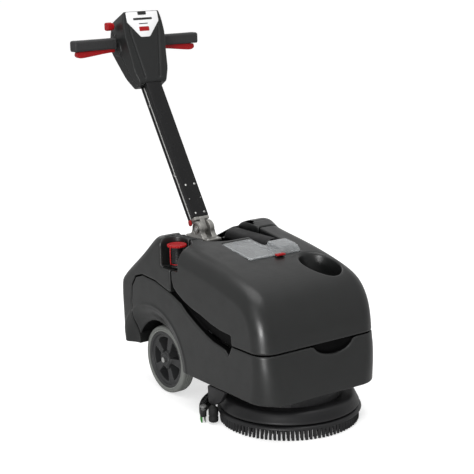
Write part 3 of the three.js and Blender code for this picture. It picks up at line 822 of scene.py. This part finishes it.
def cap_field(x, y, z):
    r = np.hypot(x - FILLER_X, y - FILLER_Y)
    turn = np.arctan2(y - FILLER_Y, x - FILLER_X)
    edge = r - 27.9 - 0.8 * np.cos(turn * 24)
    disc = both(edge, np.abs(z - FILLER_Z - 4.3) - 3.6, 2)
    disc = minus(disc, both(r - 20.5, FILLER_Z + 6.6 - z, 0.6), 0.8)
    bar = ball_box(x, y, z, (FILLER_X, FILLER_Y, FILLER_Z + 6), (17.5, 3.2, 1.9), 1.5)
    plug = both(r - 11.2, block(z, FILLER_Z - 7.6, FILLER_Z + 1), 1.5)
    return either(either(disc, bar, 1), plug, 1)


cap_low, cap_high = (tuple(v + r for v, r in zip((FILLER_X, FILLER_Y, FILLER_Z), reach))
                     for reach in ((-30, -30, -9), (30, 30, 9)))
carve("cap_ribbed", cap_field, cap_low, cap_high, 1.1, RED, "filler_cap", "red", ["filler_cap"])


def tube(name, path, radius, material, body, slot, replaced=(), closed=False):
    curve = bpy.data.curves.new(name, "CURVE")
    curve.dimensions = "3D"
    curve.bevel_depth = radius * MM
    curve.bevel_resolution = 4
    curve.use_fill_caps = True
    spline = curve.splines.new("BEZIER")
    spline.bezier_points.add(len(path) - 1)
    for knot, place in zip(spline.bezier_points, row(path)):
        knot.co = place
        knot.handle_left_type = knot.handle_right_type = "AUTO"
    spline.use_cyclic_u = closed
    spline.resolution_u = 8
    curve.materials.append(material)
    return mounted(name, curve, body, replaced)


ring = [(FILLER_X + 19 * math.cos(a), FILLER_Y + 19 * math.sin(a), 420)
        for a in np.linspace(0, 2 * math.pi, 12, endpoint=False)]
tube("tether_ring", ring, 1.3, RED, "filler_cap", "red", closed=True)
loop = [(-18.5, 3, 420), (-24, -2, 421), (-28.5, -8, 427), (-31.2, -12, 440), (-32, -13, 454),
        (-31.2, -12, 466), (-28.5, -10, 474), (-25, -8, 475)]
tube("tether_loop", [(FILLER_X + a, FILLER_Y + b, c) for a, b, c in loop], 1.5, RED, "filler_cap", "red",
    ["cap_tether"])


# ---------------------------------------------------------------- battery on the rear slope
def on_slope(x, u, w):
    y = SLOPE_Y + u * math.cos(SLOPE_TILT) + w * math.sin(SLOPE_TILT)
    z = SLOPE_Z - u * math.sin(SLOPE_TILT) + w * math.cos(SLOPE_TILT)
    return np.stack(np.broadcast_arrays(x, y, z), -1)


def battery_field(x, u, w):
    case = ball_box(x, u, w, (BATTERY_X, 0, -57), (45.5, 44.5, 60), 8)
    across = np.abs(x - BATTERY_X)
    ribs = np.minimum(np.abs(across - 22), across)
    grooves = both(2 - ribs, np.abs(w + 62) - 34, 1)
    return minus(case, both(grooves, 43.4 - np.abs(u), 0), 0.8)


def battery_cover_field(x, u, w):
    plate = ball_box(x, u, w, (BATTERY_X, 0, 8), (44, 43, 8), 6)
    grab = ball_box(x, u, w, (BATTERY_X, 8, 17), (26, 14, 7), 4)
    return minus(plate, grab, 2)


carve("battery_case", battery_field, (-162, -46, -119), (-68, 46, 4), 2, BLACK, "battery", "black",
    ["battery_pack"], on_slope)
carve("battery_cover", battery_cover_field, (-160, -44, -1), (-70, 44, 17), 1.3, RED, "battery", "red",
    (), on_slope)


# ---------------------------------------------------------------- brush, skirt and underside
def tufts():
    rng = np.random.default_rng(7)
    rings = ((194, 98, 17), (180, 92, 8), (165, 84, 5), (149, 74, 4), (132, 66, 4), (114, 58, 4))
    corner = np.array([(1, 0), (0, 1), (-1, 0), (0, -1)], float)
    points, faces = [], []
    for radius, count, strands in rings:
        for k in range(count):
            angle = 2 * math.pi * k / count
            for s in range(strands):
                spin = s * 2.39996
                reach = 3.4 * math.sqrt((s + 0.5) / strands)
                root = np.array([reach * math.cos(spin), reach * math.sin(spin) * 0.95])
                tip = root * 1.16 + rng.normal(0, 0.45, 2)
                tip[0] = min(tip[0], 5.2)
                out = np.array([math.cos(angle), math.sin(angle)])
                across = np.array([-out[1], out[0]])
                levels = ((root, 31.5 if radius > 188 else 28.5, 1.0), ((root + tip) / 2, 14, 0.95),
                          (tip, 0.4 + rng.uniform(0, 0.8), 0.8))
                for end, z, size in levels:
                    centre = out * (radius + end[0]) + across * end[1]
                    for a, b in corner * size:
                        spot = centre + out * a + across * b
                        points.append((spot[0], spot[1], z))
                base = len(points) - 12
                for level in (0, 4):
                    for i in range(4):
                        j = (i + 1) % 4
                        faces.append((base + level + i, base + level + 4 + i,
                                      base + level + 4 + j, base + level + j))
    return np.array(points), np.array(faces)


points, quads = tufts()
publish("bristle_tufts", points, quads[:, ::-1], BRISTLE, "brush", "bristle", ["bristle_ring"])

DISC = [(0, 27), (187, 27), (188, 31), (203, 31), (204.4, 31.6), (204.9, 33), (204.6, 35), (203, 38),
        (200, 40.2), (196, 41.4), (190, 42), (120, 42.6), (66, 44), (62, 50), (60, 57), (58, 58),
        (26, 58), (24, 56), (24, 44), (0, 44)]
publish("brush_back", *lathe(DISC, 128), BLACK, "brush", "black", ["brush_disc"], 40)
SKIRT = [(40, 72), (170, 72), (178, 62), (184, 50), (187, 45.6), (196.5, 45.4), (198.6, 46.4),
         (199, 48.4), (198.2, 51), (196.2, 54), (192.6, 62), (188.6, 70), (185.5, 74.4), (181, 77),
         (175, 77.8), (40, 77.8)]
publish("skirt_ring", *lathe(SKIRT, 128), BLACK, "machine", "body", ["splash_hood"], 40)


# ---------------------------------------------------------------- wheels
HUB_R = radius_of("wheel_hub_l") - 0.2


def hub_field(a, b, d):
    r = np.hypot(a, b)
    turn = np.arctan2(b, a)
    near = (turn + np.pi / 5) % (2 * np.pi / 5) - np.pi / 5
    disc = both(r - HUB_R, block(d, 126, 163.6), 2)
    dishing = both(both(28 - r, r - HUB_R + 9, 5), 158 - d, 4)
    hub = minus(disc, dishing, 2)
    side = np.abs(near) * r - (7.5 + (r - 24) * 0.5)
    window = both(side, block(r, 24, 68), 4)
    hub = minus(hub, window + 0 * d, 2)
    boss = both(r - 20, block(d, 126, 167.6), 3)
    rim = np.abs(r - HUB_R + 5.5) - 1.2
    hub = minus(hub, both(rim + 0 * d, 162.4 - d, 0.4), 0.5)
    cap = both(r - 17, 165.8 - d, 1)
    return minus(either(hub, boss, 3), cap, 0.8)


def tyre_profile():
    r, inner = WHEEL_R, HUB_R + 0.6
    out = [(inner, 124.4), (r - 11, 124), (r - 6, 124.6), (r - 2, 127), (r - 0.4, 131)]
    for k in range(3):
        d = 137.5 + 7.5 * k
        out += [(r - 0.1, d - 1.6), (r - 1.5, d - 0.8), (r - 1.5, d + 0.8), (r - 0.1, d + 1.6)]
    out += [(r - 0.4, 159), (r - 2, 163), (r - 6, 165.4), (r - 9.5, 165.8), (r - 10.5, 165),
            (r - 11.5, 165.8), (inner + 3, 165.8), (inner, 164.6)]
    return out


for side, sign in (("l", -1), ("r", 1)):
    def on_wheel(a, b, d, sign=sign):
        return np.stack([sign * d, WHEEL_Y + a, WHEEL_Z + b], -1)

    points, quads = net(hub_field, (-HUB_R - 1, -HUB_R - 1, 125), (HUB_R + 1, HUB_R + 1, 169), 1.6)
    if sign < 0:
        quads = quads[:, ::-1]
    publish(f"hub_{side}", on_wheel(*points.T), quads, HUB, f"wheel_{side}", "hub", [f"wheel_hub_{side}"])
    publish(f"tyre_tread_{side}", *lathe(tyre_profile(), 96, on_wheel), TYRE, f"wheel_{side}", "tyre",
        [f"tyre_{side}"], 38)
    cap = [(0, 166.6), (7.6, 166.6), (8, 167.4), (7, 168), (0, 168)]
    publish(f"axle_nut_{side}", *lathe(cap, 6, on_wheel), STEEL, f"wheel_{side}", "steel", (), 30)

# ---------------------------------------------------------------- squeegee, brackets and bumpers
beam_low, beam_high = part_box("squeegee_body")
SQ_LOW, SQ_HIGH = beam_low.z / MM, beam_high.z / MM
SQ_CENTRE, SQ_INNER, SQ_END = 3.2, 237, math.radians(23.5)
SQ_OUTER = (beam_high.y - BRUSH_Y) / MM - SQ_CENTRE
SQ_MIDDLE = (SQ_INNER + SQ_OUTER) / 2


def on_arc(radius, angle, z):
    x, y = radius * np.cos(angle), SQ_CENTRE + radius * np.sin(angle)
    return np.stack(np.broadcast_arrays(x, y, z), -1)


def squeegee_field(x, y, z):
    r = np.hypot(x, y - SQ_CENTRE)
    angle = np.arctan2(y - SQ_CENTRE, np.abs(x))
    end = (SQ_END + 0.001 - angle) * SQ_MIDDLE
    band = both(block(r, SQ_INNER, SQ_OUTER), end, 6)
    beam = both(band, block(z, SQ_LOW, SQ_HIGH), 3)
    groove = both(block(r, SQ_INNER + 5, SQ_OUTER - 5), SQ_HIGH - 4.5 - z, 0.5)
    ribs = np.abs((angle + 0.035) % 0.07 - 0.035) * SQ_MIDDLE - 1.6
    return minus(beam, np.maximum(np.maximum(groove, 2 - ribs - 1.2), SQ_END + 0.16 - angle + 0 * z), 1)


carve("squeegee_beam", squeegee_field, (-235, 90, SQ_LOW - 1), (235, 260, SQ_HIGH + 1), 2, BLACK,
    "squeegee", "black", ["squeegee_body"])


def blade(r0, r1, z0, z1, teeth=0):
    rings = []
    for angle in np.linspace(SQ_END + 0.03, math.pi - SQ_END - 0.03, 181):
        lift = 3.0 * (math.sin(angle * teeth) > 0.2)
        profile = [(r0, z0 + lift), (r1, z0 + lift), (r1, z1), (r0, z1)]
        rings.append(on_arc(np.array([p[0] for p in profile]), angle, np.array([p[1] for p in profile])))
    return loft(rings)


publish("blade_front", *blade(SQ_INNER + 2, SQ_INNER + 5, 0.4, SQ_LOW - 0.4, 120), GREY_BLADE, "squeegee",
    "tyre", ["squeegee_blade_front"], 30)
publish("blade_rear", *blade(SQ_OUTER - 6, SQ_OUTER - 2, 0.4, SQ_LOW - 0.4), GREEN, "squeegee",
    "blade_green", ["squeegee_blade_rear"], 30)
profile = [(9.4, SQ_HIGH + 0.4), (15.9, SQ_HIGH + 0.4), (15.9, SQ_HIGH + 4), (15.2, SQ_HIGH + 6)]
for k in range(9):
    profile += [(r, SQ_HIGH + h + 5 * k) for r, h in ((15.6, 8), (14.4, 9.2), (14.4, 10.6), (15.6, 11.8))]
profile += [(15.6, 91.8), (9.4, 91.8)]
publish("squeegee_spout", *lathe(profile, 36, centre=middle_of("squeegee_neck")[:2]), BLACK, "squeegee",
    "black", ["squeegee_neck"], 35)
for side in ("l", "r"):
    centre = middle_of(f"squeegee_knob_{side}")[:2]
    knob = [(0, 0.4), (7.4, 0.4), (7.4, 2), (5.2, 3), (5.2, 6.4), (8.6, 7.4), (9.8, 8.4), (9.9, 11),
            (9, 12.6), (7, 13.4), (3.4, 13.9), (2.6, 13.2), (0, 13.2)]
    knob = [(r, SQ_HIGH + h) for r, h in knob]
    publish(f"squeegee_nut_{side}", *lathe(knob, 32, centre=centre), KNOB, "squeegee", "motor",
        [f"squeegee_knob_{side}"], 38)
    sign = -1 if side == "l" else 1
    plate = rounded([(22.5, 108.6), (109.5, 108.6), (105.5, 56.4), (76.5, 56.4), (44.5, 76.4)], 7)
    publish(f"bracket_plate_{side}", *slab(plate, sign * 199 - 6.8, sign * 199 + 6.8, 2, sideways), BLACK,
        "machine", "black", [f"side_bracket_{side}"], 40)
    bumper = [(0, 6.2), (11, 6.2), (13, 7.6), (13.9, 10.5), (14, 20), (12.9, 22), (12.9, 25), (14, 27),
              (14, 44), (12.6, 47.6), (9.6, 49.6), (7.6, 52), (6.4, 55.4), (0, 55.4)]
    centre = middle_of(f"side_bumper_{side}")[:2]
    publish(f"bumper_roller_{side}", *lathe(bumper, 32, centre=centre), RUBBER, "machine", "bumper",
        [f"side_bumper_{side}"], 38)


# ---------------------------------------------------------------- hinge and column
def lower_hinge_field(x, y, z):
    a, b = y - PIVOT_Y, z - PIVOT_Z
    cheek = np.hypot(a, b) - 23.7
    web = polygon([(-38, -26), (44, -26), (26, -12), (14, 2), (-14, 2), (-26, -12)], a, b)
    ear = either(cheek, web, 5)
    ear = both(ear, 26.8 - np.abs(x) - 17.6, 1.5)
    ear = both(ear, np.abs(x) - 26.8, 2)
    window = both(np.hypot(a, b) - 17.5, 22.4 - np.abs(x), 1)
    window = minus(window, np.hypot(a, b) - 11, 1.5)
    ear = minus(ear, window, 1)
    foot = ball_box(x, y, z, (0, 410, 452.6), (27, 58, 4.6), 3)
    screws = np.minimum(np.hypot(np.abs(x) - 17, y - 362), np.hypot(np.abs(x) - 17, y - 459)) - 5
    foot = minus(foot, np.maximum(screws, 455.4 - z), 0.5)
    shape = either(ear, foot, 5)
    slot = np.maximum(opening(x, y, 9.1, 380.5, 435.5), 458 - z)
    teeth = 0.8 * np.cos(np.arctan2(b, a) * 30)
    sector = both(np.abs(np.hypot(a, b) - 22.4) - 1.4 + teeth * 0.4, 24.6 - np.abs(x), 0.3)
    return minus(minus(shape, slot, 1), np.maximum(sector, -b - 4), 0.3)


carve("hinge_cheeks", lower_hinge_field, (-28, 351, 447), (28, 469, 505), 1.3, CAST, "machine", "cast",
    ["lower_hinge"])
FOOT_SCREW = [(0, 454.6), (4.4, 454.6), (4.4, 456.6), (3.6, 457.6), (1.6, 457.7), (1.4, 456.4),
              (0, 456.4)]
for sign in (-1, 1):
    for y in (362, 459):
        name = f"foot_screw_{'l' if sign < 0 else 'r'}_{'front' if y < 400 else 'back'}"
        publish(name, *lathe(FOOT_SCREW, 18, centre=(sign * 17, y)), STEEL, "machine", "steel", (), 35)


def across_pivot(a, b, d):
    return np.stack([d, PIVOT_Y + a, PIVOT_Z + b], -1)


pin = [(0, -27.9), (5, -27.9), (5.6, -27.2), (5.6, -24), (4.9, -23.4), (4.9, 23.4), (5.6, 24),
       (5.6, 27.2), (5, 27.9), (0, 27.9)]
publish("hinge_bolt", *lathe(pin, 24, across_pivot), STEEL, "machine", "steel", ["hinge_pin"], 35)


def upper_hinge_field(x, n, s):
    head = ball_box(x, n, s, (0, 7.5, 30.6), (26.8, 18.8, 5.4), 2.5)
    pads = ball_box(np.abs(x), n, s, (17, -8.6, 30.6), (7, 2.6, 4.6), 1.5)
    lug = both(both(np.abs(x) - 8.5, np.abs(n) - 11.9, 4), block(s, -11.9, 33), 3)
    eye = np.hypot(n, np.minimum(s, 0)) - 11.9
    lug = np.maximum(lug, eye)
    bore = np.hypot(n, s) - 5.8
    recess = ball_box(x, n, s, (0, 7.5, 37), (20, 12, 3.4), 2)
    return minus(minus(either(either(head, lug, 2.5), pads, 1), bore + 0 * x, 0.4), recess, 1)


carve("hinge_head", upper_hinge_field, (-28, -13, -13), (28, 27.5, 37), 1.2, CAST, "handle", "cast",
    ["upper_hinge"], in_handle)


def lever_field(x, n, s):
    outline = rounded([(8.5, 16.5), (20.5, 17.5), (20.8, 27), (17, 36), (8, 35.5), (7.2, 26)], 6, 5)
    arm = polygon(outline, n, s)
    arm = both(arm, np.abs(x + 30.8) - 3.1, 1.4)
    grooves = 0.5 * np.cos(s * 2 * np.pi / 3.4)
    return np.where(x < -32.4, arm + np.maximum(grooves, 0) * 0.6, arm)


carve("lever_red", lever_field, (-35, 6, 15), (-27, 22, 37), 0.9, RED, "release_lever", "red",
    ["release_lever"], in_handle)


COLUMN_FRONT = -11.5
RAIL_X = 22


def column():
    half, front, back = 27, COLUMN_FRONT, 26.5
    right = [(half, front), (half, 5), (half - 9, 5), (half - 9, 20), (half, 20), (half, back)]
    outline = [(-half, front), *right, *[(-a, b) for a, b in right[:0:-1]]]
    outline = rounded(outline, 2.2, 4)
    rings = [in_handle(o[:, 0], o[:, 1], np.full(len(o), s)) for s, o in
             ((36.5, inset(outline, 0.8)), (37.3, outline), (559.2, outline), (560, inset(outline, 0.8)))]
    return loft(rings)


publish("column_extrusion", *column(), COATED, "handle", "column", ["column"], 40)


def on_column_front(a, b, d):
    return in_handle(a, COLUMN_FRONT - d, b)


rivets = []
for sign in (-1, 1):
    for s, size in ((47.6, 3.6), (141, 3.6), (95, 1.8), (500, 2.2)):
        x = sign * (15.6 if size > 3 else 20)
        head = [(0, -0.3), (size, -0.3), (size, 0.2), (size * 0.85, 0.9), (size * 0.5, 1.3), (0, 1.5)]
        rivets.append(lathe(head, 20, on_column_front, (x, s)))
publish("column_rivets", *gather(rivets), STEEL, "handle", "steel", (), 40)

RAIL = [(0, 37), (2.4, 37), (2.9, 37.6), (2.9, 487.4), (2.4, 488), (0, 488)]
for side, sign in (("l", -1), ("r", 1)):
    def along_column(a, b, d, sign=sign):
        return in_handle(sign * RAIL_X + a, b, d)

    publish(f"rail_{side}", *lathe(RAIL, 16, along_column, (0, 15)), STEEL, "handle", "steel",
        [f"side_rail_{side}"], 35)
    clips = [slab(rectangle(-4.2, 4.6, 10.5, 19.5, 2), s, s + 9, 0.8, along_column) for s in (182, 420)]
    publish(f"rail_clips_{side}", *gather(clips), STEEL, "handle", "steel", (), 35)


# ---------------------------------------------------------------- console
FACE_N, FACE_S, FACE_TILT = -79, 706, math.atan2(63, 209)
CONSOLE_SIDE = [(-12, 491), (-16, 497), (FACE_N, FACE_S), (2, 716), (24, 690), (49, 636), (46, 591),
                (33, 505), (31, 491)]
CONSOLE_FRONT = [(-46, 485), (46, 485), (62, 530), (68, 596), (74, 640), (70, 684), (60, 720),
                 (-60, 720), (-70, 684), (-74, 640), (-68, 596), (-62, 530)]
BAR_N, BAR_S = 6.8, 644


def on_face(a, b, d):
    """Across, up and out of the console's sloping front face, from the middle of its top edge."""
    return in_handle(a, FACE_N - b * math.sin(FACE_TILT) - d * math.cos(FACE_TILT),
                     FACE_S + b * math.cos(FACE_TILT) - d * math.sin(FACE_TILT))


SHIELD = rounded([(-57, -3), (-57, -34), (-16, -82), (16, -82), (57, -34), (57, -3)], 4, 5)


def console_field(x, n, s):
    side = polygon(rounded(CONSOLE_SIDE, [3, 3, 5, 8, 12, 16, 16, 8, 5], 6), n, s)
    front = polygon(rounded(CONSOLE_FRONT, [4, 4, 12, 16, 14, 12, 7, 7, 12, 14, 16, 12], 6), x, s)
    shape = both(side, front, 5)
    height = (s - FACE_S) * math.cos(FACE_TILT) - (n - FACE_N) * math.sin(FACE_TILT)
    above = -(n - FACE_N) * math.cos(FACE_TILT) - (s - FACE_S) * math.sin(FACE_TILT)
    line = 25 + 26 * np.clip((height + 215) / 150, 0, 1)
    ends = ease(-216, -204, height) * (1 - ease(-52, -34, height))
    groove = np.exp(-((np.abs(x) - line) / 3.2) ** 2) * ends
    shape = shape + np.where(above > -12, 3.4 * groove, 0)
    seat = both(polygon(inset(SHIELD, -0.8), x, height), -1.2 - above, 0.2)
    shape = minus(shape, seat, 0.8)
    across, along = n - BAR_N, s - BAR_S
    socket = [(-24, -14), (-16, 22), (14, 24), (24, 8), (24, -30), (6, -44), (-14, -36)]
    boss = both(polygon(socket, across, along), np.abs(x) - 74.5, 2)
    shape = either(shape, boss, 2)
    shape = minus(shape, np.maximum(np.abs(n - BAR_N) - 0.9, -(shape + 2.2)), 0.6)
    return minus(shape, np.maximum(opening(x, n, 28, -12.1, 27), s - 561), 1)


def console_front_field(x, n, s):
    return both(console_field(x, n, s), n - (BAR_N - 0.2), 0.8)


def console_rear_field(x, n, s):
    return both(console_field(x, n, s), (BAR_N + 0.2) - n, 0.8)


carve("console_face", console_front_field, (-76, -81, 484), (76, 8, 721), 2, CONSOLE, "handle", "body",
    ["console_front"], in_handle)
carve("console_back", console_rear_field, (-76, 6, 484), (76, 52, 721), 2, CONSOLE, "handle", "body",
    ["console_rear"], in_handle)

publish("shield_plate", *slab(SHIELD, -0.8, 0.35, 0.3, on_face), LABEL, "handle", "label",
    ["label_plate"], 40)
publish("shield_tab", *slab(rectangle(-15, 15, -13, -2.4, 3), 0.2, 1.6, 0.4, on_face), CONSOLE, "handle",
    "body", (), 40)
publish("shield_patch", *slab(rectangle(-18, 18, -64, -50, 3), 0.2, 0.6, 0.1, on_face), RED, "handle",
    "red", (), 40)
bars = [slab(rectangle(-34, 34, -29, -22, 2), 0.2, 0.6, 0.1, on_face),
        slab(rectangle(-16, 16, -42, -39, 1), 0.2, 0.6, 0.1, on_face)]
publish("shield_bars", *gather(bars), CONSOLE, "handle", "body", (), 40)


# ---------------------------------------------------------------- grips, triggers and knob
def at_bar(x, a, b):
    return np.stack(np.broadcast_arrays(x, BAR_Y + a, BAR_Z + b), -1)


for side, sign in (("l", -1), ("r", 1)):
    def grip_field(x, a, b, sign=sign):
        x = x * sign
        body = ball_box(x, a, b, (152, 0, 0), (74, 17.8, 16.8), 7)
        body = np.minimum(body, ball_box(x, a, b, (220.5, 0, -2), (5.3, 15, 14.8), 4))
        flange = ball_box(x, a, b, (81.5, 0, 0), (3.5, 18, 17), 3)
        ribbed = ease(96, 100, x) * (1 - ease(208, 212, x)) * ease(2, 10, np.abs(a) - 4)
        ribs = 0.25 * (1 + np.cos(x * 2 * np.pi / 6)) * ribbed
        slot = ball_box(x, a, b, (147, 0, -26), (69.4, 11, 13.4), 3)
        bore = np.maximum(np.hypot(a, b) - 11.3, x - 214)
        return minus(minus(either(body + ribs, flange, 1), slot, 1.5), bore, 0.5)

    def trigger_field(x, a, b, sign=sign):
        x = x * sign
        outline = [(80.4, -14.9), (213.6, -17.8), (216.6, -30), (206, -37.6), (186, -36.6),
                   (110, -27.8), (80.4, -25.8)]
        outline = rounded(outline, [2, 4, 5, 10, 20, 20, 2], 5)
        body = both(polygon(outline, x, b), np.abs(a) - 9.3, 3)
        dimple = np.hypot(x - 191, b + 30.5) - 2.6
        return minus(body, np.maximum(dimple, 7.5 - np.abs(a)), 0.5)

    low, high = sorted((sign * 77, sign * 227))
    carve(f"grip_sleeve_{side}", grip_field, (low, -19, -18), (high, 19, 18), 1.4, GRIP, "handle", "grip",
        [f"grip_{side}"], at_bar)
    low, high = sorted((sign * 79.5, sign * 218))
    carve(f"trigger_bar_{side}", trigger_field, (low, -10.5, -39), (high, 10.5, -14), 1.3, RED,
        f"trigger_{side}", "red", [f"trigger_{side}"], at_bar)

KNOB_A, KNOB_B = np.subtract(middle_of("dosing_knob")[1:], (BAR_Y, BAR_Z)).tolist()


def knob_field(x, a, b):
    r = np.hypot(a - KNOB_A, b - KNOB_B)
    grip = ball_box(x, a, b, (-90.9, KNOB_A, KNOB_B), (8.9, 11.4, 13), 2.5)
    grip = both(grip, r - 13.9, 2)
    skirt = both(r - 11, block(x, -84, -75.4), 1)
    pointer = ball_box(x, a, b, (-99.4, KNOB_A, KNOB_B + 6), (1, 1.4, 5), 0.6)
    return minus(either(grip, skirt, 1), pointer, 0.3)


carve("dosing_dial", knob_field, (-101, KNOB_A - 15, KNOB_B - 15), (-74, KNOB_A + 15, KNOB_B + 15), 1.0,
    RED, "dosing_knob", "red", ["dosing_knob"], at_bar)
